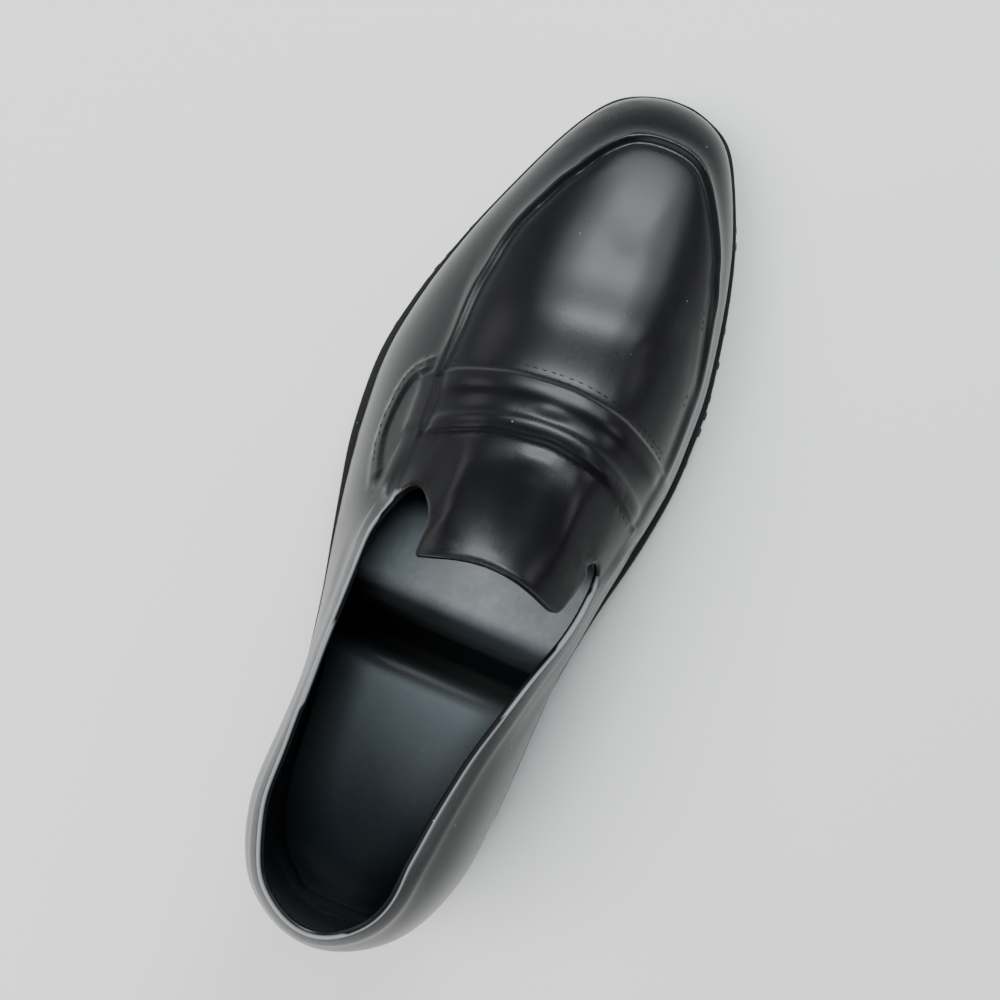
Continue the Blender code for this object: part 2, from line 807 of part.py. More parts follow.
def make_tread(name, first, last, underside, collection):
    """A tread pad with bars across it; each bar is a step down from the grooves between."""
    length = (last - first) * LENGTH
    bars = int(length // TREAD_PITCH)
    sections = []
    for k in range(bars):
        start = first + (last - first) * k / bars
        end = first + (last - first) * (k + 1) / bars
        groove = end - TREAD_GROOVE / LENGTH
        profile = [(start, 0.0), (groove, 0.0)]
        if k < bars - 1:
            profile += [(groove + BAR_SLOPE, TREAD_DEPTH), (end - BAR_SLOPE, TREAD_DEPTH)]
        for at, depth in profile:
            top = underside(at) - GAP
            sections.append(tread_section(at, top - PAD_THICKNESS + depth, top, TREAD_INSET))
    return loft(name, sections, collection, TREAD_RUBBER)


def new_collection(name):
    made = bpy.data.collections.new(name)
    bpy.context.scene.collection.children.link(made)
    return made


def main():
    for old in list(bpy.data.objects):
        bpy.data.objects.remove(old)
    shoe = new_collection("overshoe")
    cutters = new_collection("cutters")
    make_upper(shoe)
    make_outsole(shoe, cutters)
    make_insole(shoe)
    heel_underside = PAD_THICKNESS + GAP
    heel_tread_to = HEEL_BREAST_AT - BREAST_CLEAR
    make_tread("heel_tread", HEEL_TREAD_FROM, heel_tread_to, lambda at: heel_underside, shoe)
    make_tread(
        "forefoot_tread",
        FOREFOOT_TREAD_FROM,
        FOREFOOT_TREAD_TO,
        lambda at: max(underside_height(at), heel_underside),
        shoe,
    )


main()
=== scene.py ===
"""Dresses the rubber overshoe, left foot: its skin, stitches, creases, sole, footbed and stage.

Lengths are in metres. Tables of feature lines are in millimetres, in the shoe's own frame: the toe
towards +X, the outer side towards +Y, the ground at z = 0 and the origin under the heel's middle.
"""

import math

import bmesh
import bpy
import numpy as np
from bpy.props import FloatProperty, FloatVectorProperty, PointerProperty
from mathutils import Matrix, Vector
from mathutils.bvhtree import BVHTree


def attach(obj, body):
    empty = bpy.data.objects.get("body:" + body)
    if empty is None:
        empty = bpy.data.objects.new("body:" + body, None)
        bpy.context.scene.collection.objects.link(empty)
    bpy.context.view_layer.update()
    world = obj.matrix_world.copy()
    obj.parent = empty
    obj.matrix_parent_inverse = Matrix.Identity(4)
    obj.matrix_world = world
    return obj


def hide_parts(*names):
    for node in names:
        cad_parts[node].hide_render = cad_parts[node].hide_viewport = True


bl_info = {
    "name": "Rubber Overshoe Dressing",
    "version": (1, 0, 0),
    "blender": (4, 2, 0),
    "location": "3D View > Sidebar > Overshoe",
    "description": "Dresses a moulded rubber overshoe and sets its stage",
    "category": "Object",
}

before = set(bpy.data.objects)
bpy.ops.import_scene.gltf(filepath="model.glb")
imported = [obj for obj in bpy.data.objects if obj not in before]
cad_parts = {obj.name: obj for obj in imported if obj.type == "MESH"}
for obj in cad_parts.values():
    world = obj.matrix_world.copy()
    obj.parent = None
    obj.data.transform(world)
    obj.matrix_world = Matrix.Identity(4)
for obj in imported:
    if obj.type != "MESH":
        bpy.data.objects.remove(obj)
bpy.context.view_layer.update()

# The moccasin seam in plan, from the outer side round the toe to the inner side
SEAM = (
    (84, 28.6), (94, 29.4), (106, 30.0), (118, 31.4), (127, 33.0), (134, 33.7), (142, 34.0),
    (151, 34.4), (160, 34.5), (168, 34.2), (177, 33.4), (185, 32.2), (192, 30.2), (199, 27.8),
    (206, 24.8), (213, 21.3), (220, 17.2), (226, 12.8), (230.5, 8.0), (233, 2.6), (233.8, -3.6),
    (233, -9.8), (230.2, -15.4), (225.6, -20.0), (219.8, -23.8), (213, -27.4), (206, -30.8),
    (199, -33.6), (192, -36.0), (185, -38.0), (177, -39.8), (168, -41.4), (160, -42.4), (151, -42.9),
    (142, -43.1), (134, -43.0), (127, -42.7), (118, -41.8), (106, -39.8), (94, -37.4), (84, -35.8),
)

# The saddle strap's borders in plan, from the outer side to the inner side
STRAP_FRONT = (
    (126, 33.0), (129, 27.2), (133, 11.6), (134.8, -6.6), (133, -24.1), (128.4, -37.7), (126, -42.6),
)
STRAP_REAR = (
    (106.2, 29.9), (109.2, 24.2), (114.6, 9.5), (117, -7.5), (114.6, -23.4), (109.2, -35.6), (106.2, -40),
)

# The band that ends the strap on the outer wall, down to the notch
END_BAND_OUTER = (
    (127.5, 34), (125.4, 39), (121, 41), (116.8, 41.6), (109.9, 41.6), (103.1, 41), (95.1, 38.4), (91, 36),
)

DOWN = Vector((0.0, 0.0, -1.0))


def settings_groups():
    """The sizes and colours of the skin, and those of the stage."""
    return bpy.context.scene.overshoe_skin, bpy.context.scene.overshoe_stage


class OvershoeSkinSettings(bpy.types.PropertyGroup):
    """Sizes and colours of the rubber skin."""

    lip_height: FloatProperty(
        name="Seam lip",
        description="Height that the dressing adds to the moccasin seam's lip",
        default=0.0001,
        unit="LENGTH",
    )
    stitch_pitch: FloatProperty(
        name="Stitch pitch",
        description="Distance from one moulded stitch to the next",
        default=0.0028,
        unit="LENGTH",
    )
    stitch_length: FloatProperty(
        name="Stitch length",
        description="Length of one moulded stitch",
        default=0.0016,
        unit="LENGTH",
    )
    stitch_width: FloatProperty(
        name="Stitch width",
        description="Width of one moulded stitch",
        default=0.00045,
        unit="LENGTH",
    )
    crease_depth: FloatProperty(
        name="Crease depth",
        description="Scale of the soft creases and dents by hand, where 1 is as found",
        default=1.0,
        min=0.0,
        max=2.0,
        subtype="FACTOR",
    )
    dust: FloatProperty(
        name="Dust",
        description="Share of the dust specks that show",
        default=0.03,
        min=0.0,
        max=1.0,
        subtype="FACTOR",
    )
    upper_colour: FloatVectorProperty(
        name="Upper",
        description="Colour of the upper's black rubber",
        default=(0.0050, 0.0050, 0.0060),
        size=3,
        min=0.0,
        max=1.0,
        subtype="COLOR",
    )
    sole_colour: FloatVectorProperty(
        name="Sole",
        description="Colour of the sole's black rubber",
        default=(0.012, 0.0125, 0.014),
        size=3,
        min=0.0,
        max=1.0,
        subtype="COLOR",
    )
    footbed_colour: FloatVectorProperty(
        name="Footbed",
        description="Colour of the glossy footbed",
        default=(0.016, 0.022, 0.029),
        size=3,
        min=0.0,
        max=1.0,
        subtype="COLOR",
    )


class OvershoeStageSettings(bpy.types.PropertyGroup):
    """Floor, light and lens."""

    floor_colour: FloatVectorProperty(
        name="Floor",
        description="Colour of the plain floor",
        default=(0.95, 0.95, 0.935),
        size=3,
        min=0.0,
        max=1.0,
        subtype="COLOR",
    )
    light_power: FloatProperty(
        name="Light power",
        description="Scale of all the studio lights, where 1 is as set",
        default=1.0,
        min=0.0,
        max=10.0,
        subtype="FACTOR",
    )
    focal_length: FloatProperty(
        name="Focal length",
        description="Focal length on a 36 mm sensor, in millimetres",
        default=39.5,
        min=10.0,
        max=200.0,
    )


class Value:
    """A shader socket that adds Math nodes when it stands in an expression."""

    def __init__(self, nodes, socket):
        self.nodes = nodes
        self.socket = socket

    def combined(self, operation, first, second):
        return self.nodes.add("ShaderNodeMath", {"operation": operation}, {0: first, 1: second})

    def __add__(self, other):
        return self.combined("ADD", self, other)

    def __radd__(self, other):
        return self.combined("ADD", other, self)

    def __sub__(self, other):
        return self.combined("SUBTRACT", self, other)

    def __rsub__(self, other):
        return self.combined("SUBTRACT", other, self)

    def __mul__(self, other):
        return self.combined("MULTIPLY", self, other)

    def __rmul__(self, other):
        return self.combined("MULTIPLY", other, self)

    def __lt__(self, other):
        return self.combined("LESS_THAN", self, other)

    def __gt__(self, other):
        return self.combined("GREATER_THAN", self, other)

    def ramp(self, low, high):
        """0 below low, 1 above high, and smooth between."""
        return self.nodes.add(
            "ShaderNodeMapRange",
            {"interpolation_type": "SMOOTHSTEP"},
            {"Value": self, "From Min": low, "From Max": high},
        )

    def band(self, first, full, fades, last):
        """0 up to first, 1 from full to fades, 0 again past last, and smooth between."""
        return self.ramp(first, full) * (1 - self.ramp(fades, last))


class Nodes:
    """A node tree and the one method that adds nodes to it."""

    def __init__(self, tree):
        self.tree = tree

    def add(self, kind, settings, inputs, output=0):
        """Adds a node of a type, with its settings, then the values or links of its sockets."""
        node = self.tree.nodes.new(kind)
        for name, value in settings.items():
            setattr(node, name, value)
        for key, value in inputs.items():
            self.feed(node.inputs[key], value)
        return Value(self, node.outputs[output])

    def feed(self, socket, value):
        if isinstance(value, Value):
            self.tree.links.new(value.socket, socket)
        else:
            socket.default_value = value


class Finish(Nodes):
    """A procedural finish: one Principled shader and the nodes that feed it."""

    def __init__(self, name, roughness):
        self.material = bpy.data.materials.new(name)
        self.material.use_nodes = True
        super().__init__(self.material.node_tree)
        self.shader = self.tree.nodes["Principled BSDF"]
        self.shader.inputs["Roughness"].default_value = roughness
        self.place = self.add("ShaderNodeTexCoord", {}, {}, "Object")

    def stretched(self, scale, turn):
        """The place on the shoe, scaled along each axis after a turn."""
        return self.add("ShaderNodeMapping", {}, {"Vector": self.place, "Rotation": turn, "Scale": scale})

    def noise(self, scale, detail=2.0, place=None, roughness=0.5):
        inputs = {"Vector": place or self.place, "Scale": scale, "Detail": detail, "Roughness": roughness}
        return self.add("ShaderNodeTexNoise", {}, inputs, "Fac")

    def specks(self, scale, size, share):
        """Round specks: a share of the cells of a scale holds one, of a size within its cell."""
        inputs = {"Vector": self.place, "Scale": scale}
        distance = self.add("ShaderNodeTexVoronoi", {}, inputs, "Distance")
        colour = self.add("ShaderNodeTexVoronoi", {}, inputs, "Color")
        chance = self.add("ShaderNodeSeparateColor", {}, {"Color": colour}, "Red")
        return (1 - distance.ramp(size * 0.5, size)) * (chance < share)

    def attribute(self, name):
        return self.add("ShaderNodeAttribute", {"attribute_name": name}, {}, "Fac")

    def mixed(self, share, first, second):
        """A colour between two others, of which the first may come from nodes."""
        start = (*first, 1.0) if isinstance(first, tuple) else first
        inputs = {"Factor": share, "A": start, "B": (*second, 1.0)}
        return self.add("ShaderNodeMix", {"data_type": "RGBA"}, inputs, "Result")

    def set(self, name, value):
        self.feed(self.shader.inputs[name], value)

    def fed(self, name):
        """What already feeds a socket of the shader."""
        return Value(self, self.shader.inputs[name].links[0].from_socket)

    def lay_over(self, share, colour):
        """Lays a colour over the base colour, as far as share says."""
        self.set("Base Color", self.mixed(share, self.fed("Base Color"), colour))

    def bump(self, height, distance, strength):
        """Lights the surface as if height, from 0 to 1, stood a distance proud of it."""
        inputs = {"Strength": strength, "Distance": distance, "Height": height}
        self.set("Normal", self.add("ShaderNodeBump", {}, inputs, "Normal"))


def lighter(colour, times):
    return tuple(min(c * times, 1.0) for c in colour)


# Scales of the rubber's patterns, as waves or cells in a metre
BROAD_PATCHES = 16.0
WIPED_PATCHES = 60.0
FINE_GRAIN = 1500.0
DUST_CELLS = 330.0
PIT_CELLS = 210.0

# How the wiped patches are drawn out and turned, the specks' and pits' size in their cells, the
# share of the cells that hold a pit, and the colours
WIPED_STRETCH = (1.0, 2.4, 1.0)
WIPED_TURN = (0.3, 0.2, 0.6)
DUST_SIZE = 0.11
PIT_SIZE = 0.09
PIT_SHARE = 0.05
DUST_COLOUR = (0.42, 0.43, 0.45)
HAZE_LIGHTER = 1.5
COAT_ROUGHNESS = 0.22


def rubber_finish(name, colour, roughness, dust, mirror=0.16, coat=0.0):
    """Black moulded rubber with its bump's height: gloss, wiped patches, grain, pits and dust."""
    colour = tuple(colour)
    finish = Finish(name, roughness)
    broad = finish.noise(BROAD_PATCHES, 3.0)
    wiped = finish.noise(WIPED_PATCHES, 4.0, finish.stretched(WIPED_STRETCH, WIPED_TURN), 0.6)
    fine = finish.noise(FINE_GRAIN, 2.0)
    specks = finish.specks(DUST_CELLS, DUST_SIZE, dust)
    pits = finish.specks(PIT_CELLS, PIT_SIZE, PIT_SHARE)
    haze = broad.ramp(0.35, 0.75) * 0.6 + wiped.ramp(0.45, 0.8) * 0.4
    skin = finish.mixed(haze, colour, lighter(colour, HAZE_LIGHTER))
    finish.set("Base Color", finish.mixed(specks * 0.55, skin, DUST_COLOUR))
    uneven = (broad - 0.5) * 0.12 + (wiped - 0.5) * 0.05
    finish.set("Roughness", uneven + roughness + specks * 0.3)
    finish.shader.inputs["Coat Weight"].default_value = coat
    finish.shader.inputs["Coat Roughness"].default_value = COAT_ROUGHNESS
    finish.shader.inputs["Specular IOR Level"].default_value = mirror
    height = fine * 0.05 + wiped * 0.10 + specks * 0.12 - pits * 0.10
    return finish, height


# How close loose corners are to be one, and the angles within which two triangles make a quad
SAME_CORNER = 2e-6
QUAD_FLATNESS = math.radians(35)
QUAD_SQUARENESS = math.radians(60)


def merged_copy(node):
    """A bmesh of a CAD node's mesh with its loose triangles joined and paired into quads."""
    mesh = bmesh.new()
    mesh.from_mesh(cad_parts[node].data)
    bmesh.ops.remove_doubles(mesh, verts=mesh.verts, dist=SAME_CORNER)
    bmesh.ops.join_triangles(
        mesh,
        faces=mesh.faces,
        angle_face_threshold=QUAD_FLATNESS,
        angle_shape_threshold=QUAD_SQUARENESS,
    )
    return mesh


def finished(name, mesh, material, slot, node=None):
    """A piece made of a bmesh, which rides on the shoe."""
    data = bpy.data.meshes.new(name)
    mesh.to_mesh(data)
    mesh.free()
    for face in data.polygons:
        face.use_smooth = True
    piece = bpy.data.objects.new(name, data)
    bpy.context.scene.collection.objects.link(piece)
    data.materials.append(material)
    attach(piece, "root")
    if node:
        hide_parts(node)


def surface_of(name):
    """A finished piece's faces, for finding places on them."""
    source = bmesh.new()
    source.from_mesh(bpy.data.objects[name].data)
    surface = BVHTree.FromBMesh(source)
    source.free()
    return surface


def smoothed(mesh, levels):
    """The bmesh after a Subdivision Surface, as a new bmesh."""
    data = bpy.data.meshes.new("smoothing")
    mesh.to_mesh(data)
    mesh.free()
    helper = bpy.data.objects.new("smoothing", data)
    bpy.context.scene.collection.objects.link(helper)
    surface = helper.modifiers.new("smooth", "SUBSURF")
    surface.levels = levels
    surface.render_levels = levels
    bpy.context.view_layer.update()
    evaluated = helper.evaluated_get(bpy.context.evaluated_depsgraph_get())
    result = bmesh.new()
    result.from_mesh(evaluated.to_mesh())
    evaluated.to_mesh_clear()
    bpy.data.objects.remove(helper)
    bpy.data.meshes.remove(data)
    return result


def crease_edges(mesh, sharper_than, crease):
    """Keeps edges that turn more than an angle from being rounded away."""
    layer = mesh.edges.layers.float.get("crease_edge") or mesh.edges.layers.float.new("crease_edge")
    for edge in mesh.edges:
        if len(edge.link_faces) == 2 and edge.calc_face_angle(0.0) > sharper_than:
            edge[layer] = crease


def arrays_of(mesh):
    mesh.normal_update()
    points = np.array([v.co for v in mesh.verts])
    normals = np.array([v.normal for v in mesh.verts])
    return points, normals


# A feature line's step in millimetres, and how many steps are averaged and how often
LINE_STEP = 0.5
AVERAGED_STEPS = 9
AVERAGING_PASSES = 2


def curve_through(points):
    """Points every step along a smooth line that follows the given ones."""
    points = np.array(points, float)
    run = np.concatenate(([0.0], np.cumsum(np.linalg.norm(np.diff(points, axis=0), axis=1))))
    dense = np.arange(0.0, run[-1], LINE_STEP)
    line = np.stack([np.interp(dense, run, column) for column in points.T], 1)
    beyond = AVERAGED_STEPS // 2
    weights = np.ones(AVERAGED_STEPS) / AVERAGED_STEPS
    for _ in range(AVERAGING_PASSES):
        padded = np.concatenate((np.repeat(line[:1], beyond, 0), line, np.repeat(line[-1:], beyond, 0)))
        line = np.stack([np.convolve(column, weights, "valid") for column in padded.T], 1)
    return line


# A height above the shoe, from which its skin is looked down on
OVERHEAD = 0.3

# Where a vertex stops counting for a line: by how its face is turned from the line's, by how far it
# lies past the line's end in metres, and by its depth as a share of the line's reach
COUNTS_FACING = (0.15, 0.5)
COUNTS_PAST_END = (0.0008, 0.003)
COUNTS_DEEP = (0.8, 1.2)

# How many vertices are measured at once, to spare memory
AT_ONCE = 4000


class SkinLine:
    """A line that lies on the rubber's outer skin, found by looking down on it."""

    def __init__(self, plan, surface):
        places, normals = [], []
        for x, y in curve_through(plan) / 1000:
            hit, normal, _, _ = surface.ray_cast(Vector((x, y, OVERHEAD)), DOWN)
            if hit is not None:
                places.append(hit)
                normals.append(normal)
        self.places = np.array(places)
        self.normals = np.array(normals)
        along = np.gradient(self.places, axis=0)
        self.along = along / np.linalg.norm(along, axis=1)[:, None]
        across = np.cross(self.normals, self.along)
        self.across = across / np.linalg.norm(across, axis=1)[:, None]
        steps = np.linalg.norm(np.diff(self.places, axis=0), axis=1)
        self.run = np.concatenate(([0.0], np.cumsum(steps)))

    def measured(self, points, normals, reach):
        """Which vertices are near, how far along each is, how far across, and how much it counts."""
        low = self.places.min(0) - reach
        high = self.places.max(0) + reach
        near = np.where(((points > low) & (points < high)).all(1))[0]
        best = np.empty(len(near), int)
        for start in range(0, len(near), AT_ONCE):
            part = points[near[start : start + AT_ONCE]]
            gaps = ((part[:, None, :] - self.places[None, :, :]) ** 2).sum(2)
            best[start : start + AT_ONCE] = gaps.argmin(1)
        offset = points[near] - self.places[best]
        across = (offset * self.across[best]).sum(1)
        beyond = np.abs((offset * self.along[best]).sum(1))
        facing = (normals[near] * self.normals[best]).sum(1)
        deep = np.abs((offset * self.normals[best]).sum(1))
        count = smooth_step(facing, *COUNTS_FACING) * (1 - smooth_step(beyond, *COUNTS_PAST_END))
        count *= 1 - smooth_step(deep, reach * COUNTS_DEEP[0], reach * COUNTS_DEEP[1])
        kept = (np.abs(across) < reach) & (count > 0)
        return near[kept], self.run[best[kept]], across[kept], count[kept]


def smooth_step(value, low, high):
    t = np.clip((value - low) / (high - low), 0, 1)
    return t * t * (3 - 2 * t)


def bell(value, middle, width):
    return np.exp(-(((value - middle) / width) ** 2))


# Soft creases and dents on the upper, from the photograph: a line in plan, the half width and the
# depth in millimetres, where a negative depth is a ridge
CREASES = (
    (((155, 36), (156, 18), (156, 6), (158, -9), (161, -24), (165, -40)), 15.0, -1.45),
    (((152, -20), (158, -26), (168, -32)), 3.5, 0.35),
    (((125, 3), (126, -4), (127, -11)), 2.6, -0.4),
    (((108, 3), (110, -5), (111, -13)), 2.6, -0.5),
    (((117, -14), (115, -24), (112, -34)), 1.6, -0.5),
    (((108, 14), (94, 13), (76, 11)), 5.0, -0.8),
    (((110, 0), (94, -1), (76, -3)), 6.0, 0.7),
    (((82, 22), (78, 8), (77, -5), (78, -18), (82, -32)), 12.0, 1.6),
    (((106, 22), (105, 8), (105, -5), (106, -18), (108, -32)), 7.0, -0.6),
    (((108, -20), (92, -22), (76, -24)), 5.0, -0.8),
    (((72, 37), (56, 35), (40, 33)), 5.0, 0.5),
    (((96, -41), (104, -44), (114, -47)), 4.0, 0.6),
    (((88, -38), (97, -39.5), (108, -43)), 2.5, -0.35),
    (((30, -30), (46, -33), (62, -38)), 4.5, 0.45),
)


# The seam's lip in metres: how far from its line it is looked for, its crest's place and its width
LIP_REACH = 0.008
LIP_CREST = -0.0004
LIP_WIDTH = 0.0011

# The strap's borders in metres: how far from their lines they are looked for, width and height
BORDER_REACH = 0.004
BORDER_WIDTH = 0.0009
BORDER_RISE = 0.0003

# The end band in metres: how far it is looked for, its two edges inwards of its line, how soon it
# is at full height along the line, and that height
BAND_REACH = 0.008
BAND_OUTER_EDGE = (-0.0008, 0.0006)
BAND_INNER_EDGE = (0.0046, 0.0060)
BAND_FULL_AT = 0.004
BAND_RISE = 0.0009

# A crease reaches three of its half widths, here in metres for each millimetre of half width, and
# its ends keep a little of its depth
CREASE_REACH = 0.003
CREASE_ENDS = (0.04, 0.96)
CREASE_FADE = 0.7
SHORTEST_RUN = 1e-4


def shape_upper(mesh, skin):
    """Adds the seam's lip, the strap's borders and end band, and the creases to the outer skin."""
    surface = BVHTree.FromBMesh(mesh)
    points, normals = arrays_of(mesh)
    rise = np.zeros(len(points))
    near, _, across, count = SkinLine(SEAM, surface).measured(points, normals, LIP_REACH)
    rise[near] += bell(-across, LIP_CREST, LIP_WIDTH) * skin.lip_height * count
    for plan in (STRAP_FRONT, STRAP_REAR):
        near, _, across, count = SkinLine(plan, surface).measured(points, normals, BORDER_REACH)
        rise[near] += bell(across, 0.0, BORDER_WIDTH) * BORDER_RISE * count
    near, run, across, count = SkinLine(END_BAND_OUTER, surface).measured(points, normals, BAND_REACH)
    inside = smooth_step(-across, *BAND_OUTER_EDGE) * (1 - smooth_step(-across, *BAND_INNER_EDGE))
    rise[near] += inside * BAND_RISE * count * smooth_step(run, 0.0, BAND_FULL_AT)
    for plan, width, depth in CREASES:
        near, run, across, count = SkinLine(plan, surface).measured(points, normals, width * CREASE_REACH)
        length = max(run.max(), SHORTEST_RUN) if len(run) else 1.0
        fade = np.sin(np.pi * np.clip(run / length, *CREASE_ENDS)) ** CREASE_FADE
        rise[near] -= bell(across, 0.0, width / 1000) * depth / 1000 * skin.crease_depth * fade * count
    moved = points + normals * rise[:, None]
    for vertex, place in zip(mesh.verts, moved):
        vertex.co = place


# The collar's pale rim, in part its matte cut edge and in part a painted highlight on its upward faces: the
# attribute that marks it, its colour and that colour's share, and how far its normal points up
RIM = "pale_rim_highlight"
RIM_HIGHLIGHT_COLOUR = (0.30, 0.32, 0.34)
RIM_HIGHLIGHT_SHARE = 0.85
RIM_FACES_UP = (0.55, 0.90)

# Where the rim ends towards the toe, the least height it has, how far inside the skin the ray down
# starts, and how deep the rubber under it is at least, in metres
RIM_TO_X = 0.088
RIM_FROM_Z = 0.050
RIM_RAY_INSIDE = 0.0001
RIM_DEPTH = 0.0032


def mark_rim(mesh):
    """Marks the upward faces of the collar's edge to be painted pale: in part the matte cut edge, in part a
    painted highlight.
    """
    layer = mesh.verts.layers.float.new(RIM)
    mesh.normal_update()
    surface = BVHTree.FromBMesh(mesh)
    for vertex in mesh.verts:
        x, _, z = vertex.co
        if x > RIM_TO_X or z < RIM_FROM_Z:
            continue
        below = surface.ray_cast(vertex.co - vertex.normal * RIM_RAY_INSIDE, DOWN)[0]
        deep = below is not None and vertex.co.z - below.z > RIM_DEPTH
        vertex[layer] = float(smooth_step(vertex.normal.z, *RIM_FACES_UP)) * deep


# Close to the feature lines, within a reach, edges longer than this are split, in metres, and how
# far the new vertices are rounded out and relaxed
REFINED_REACH = 0.005
REFINED_EDGE = 0.0009
SPLIT_SMOOTHING = 0.6
SPLIT_RELAXING = 0.4


def refine(mesh, lines):
    """Splits the long edges close to some lines, then relaxes the new vertices."""
    surface = BVHTree.FromBMesh(mesh)
    points, normals = arrays_of(mesh)
    close = np.zeros(len(points), bool)
    for plan in lines:
        near, _, _, _ = SkinLine(plan, surface).measured(points, normals, REFINED_REACH)
        close[near] = True
    mesh.verts.index_update()
    edges = [
        edge
        for edge in mesh.edges
        if all(close[v.index] for v in edge.verts) and edge.calc_length() > REFINED_EDGE
    ]
    made = bmesh.ops.subdivide_edges(mesh, edges=edges, cuts=1, use_grid_fill=True, smooth=SPLIT_SMOOTHING)
    fresh = [v for v in made["geom_inner"] if isinstance(v, bmesh.types.BMVert)]
    axes = {"use_axis_x": True, "use_axis_y": True, "use_axis_z": True}
    bmesh.ops.smooth_vert(mesh, verts=fresh, factor=SPLIT_RELAXING, **axes)


class OVERSHOE_OT_upper(bpy.types.Operator):
    """Make the upper's rubber skin with its seam lip, strap and creases"""

    bl_idname = "overshoe.upper"
    bl_label = "Upper"

    def execute(self, context):
        skin, _ = settings_groups()
        mesh = merged_copy("upper")
        crease_edges(mesh, math.radians(70), 0.45)
        mesh = smoothed(mesh, 2)
        refine(mesh, (SEAM, STRAP_FRONT, STRAP_REAR, END_BAND_OUTER))
        shape_upper(mesh, skin)
        mark_rim(mesh)
        finish, height = rubber_finish("upper_rubber", skin.upper_colour, 0.28, skin.dust, coat=0.05)
        # Painted highlight, in part the matte cut edge: the rim's upward faces are made pale
        finish.lay_over(finish.attribute(RIM) * RIM_HIGHLIGHT_SHARE, RIM_HIGHLIGHT_COLOUR)
        finish.bump(height, 0.0004, 0.5)
        finished("dressed_upper", mesh, finish.material, "upper", "upper")
        return {"FINISHED"}


# How far the skin under a stitch may turn away from its line's, as the cosine
STITCH_FACING = 0.2

# Rows of moulded stitches: the line that a row follows, how many millimetres to its inner side the
# row runs, and the shares of the line where it starts and ends
STITCH_ROWS = (
    (SEAM, 5.0, 0.17, 0.83),
    (STRAP_FRONT, -2.4, 0.04, 0.96),
    (STRAP_FRONT, -4.6, 0.04, 0.96),
    (STRAP_REAR, 2.0, 0.04, 0.96),
    (END_BAND_OUTER, 1.0, 0.06, 0.96),
    (END_BAND_OUTER, 4.2, 0.12, 0.86),
)


def add_stitches(mesh, line, inwards, first, last, surface, skin):
    """Adds one row of stitches, each a small long bead half sunk in the skin."""
    total = line.run[-1]
    at = total * first
    while at < total * last:
        k = int(np.searchsorted(line.run, at).clip(1, len(line.run) - 1))
        aside = line.places[k] - line.across[k] * inwards / 1000
        hit, normal, _, _ = surface.find_nearest(Vector(aside))
        at += skin.stitch_pitch
        if hit is None or normal.dot(Vector(line.normals[k])) < STITCH_FACING:
            continue
        along = Vector(line.along[k])
        along = (along - normal * along.dot(normal)).normalized()
        side = normal.cross(along)
        turn = Matrix((along, side, normal)).transposed().to_4x4()
        size = Matrix.Diagonal((skin.stitch_length / 2, skin.stitch_width / 2, skin.stitch_width / 3, 1.0))
        place = Matrix.Translation(hit) @ turn @ size
        bmesh.ops.create_uvsphere(mesh, u_segments=8, v_segments=5, radius=1.0, matrix=place)


class OVERSHOE_OT_stitches(bpy.types.Operator):
    """Lay the moulded stitches along the seam and the strap"""

    bl_idname = "overshoe.stitches"
    bl_label = "Stitches"

    def execute(self, context):
        skin, _ = settings_groups()
        surface = surface_of("dressed_upper")
        mesh = bmesh.new()
        for plan, inwards, first, last in STITCH_ROWS:
            add_stitches(mesh, SkinLine(plan, surface), inwards, first, last, surface, skin)
        finish, height = rubber_finish("stitch_rubber", skin.upper_colour, 0.38, skin.dust)
        finish.bump(height, 0.0003, 0.4)
        finished("moulded_stitches", mesh, finish.material, slot="upper")
        return {"FINISHED"}


# The side lugs in metres: pitch along the sides, size along, out of and up the edge, how much the
# size varies, how far they stand proud and how their edges are rounded
LUG_PITCH = 0.0062
LUG_SIZE = (0.0030, 0.0014, 0.0020)
LUG_VARIES = (0.85, 1.15)
LUG_PROUD = (0.0001, 0.0007)
LUG_ROUNDING = 0.0004
LUG_SEED = 7

# The stretch of the sides that has lugs, the middle of the toe's round and its angles in degrees
SIDES_FROM, SIDES_TO = 0.092, 0.205
TOE_MIDDLE = Vector((0.205, -0.002, 0.0))
TOE_ANGLES = (-66.0, 67.0, 8.5)

# How far out the rays to the edge start, and how far in the edge is taken to lie for the heights
RAY_FROM = 0.2
RAY_TO_EDGE = 0.14

# Heights of the lugs on the edge, at places along the shoe
LUG_ALONG = (0.09, 0.12, 0.19, 0.225, 0.25)
LUG_HEIGHTS = (0.0095, 0.0062, 0.0062, 0.0080, 0.0100)


def lug_places():
    """Places on the sole's edge and the ways out of it, along both sides and round the toe."""
    surface = surface_of("dressed_outsole")
    rays = []
    for side in (1, -1):
        for x in np.arange(SIDES_FROM, SIDES_TO, LUG_PITCH):
            rays.append((Vector((x, side * RAY_FROM, 0)), Vector((0, -side, 0))))
    for angle in np.radians(np.arange(*TOE_ANGLES)):
        way = Vector((math.cos(angle), math.sin(angle), 0))
        rays.append((TOE_MIDDLE + way * RAY_FROM, -way))
    for start, way in rays:
        along = (start + way * RAY_TO_EDGE).x
        start.z = float(np.interp(along, LUG_ALONG, LUG_HEIGHTS))
        hit, normal, _, _ = surface.ray_cast(start, way)
        if hit is not None:
            yield hit, Vector((normal.x, normal.y, 0)).normalized()


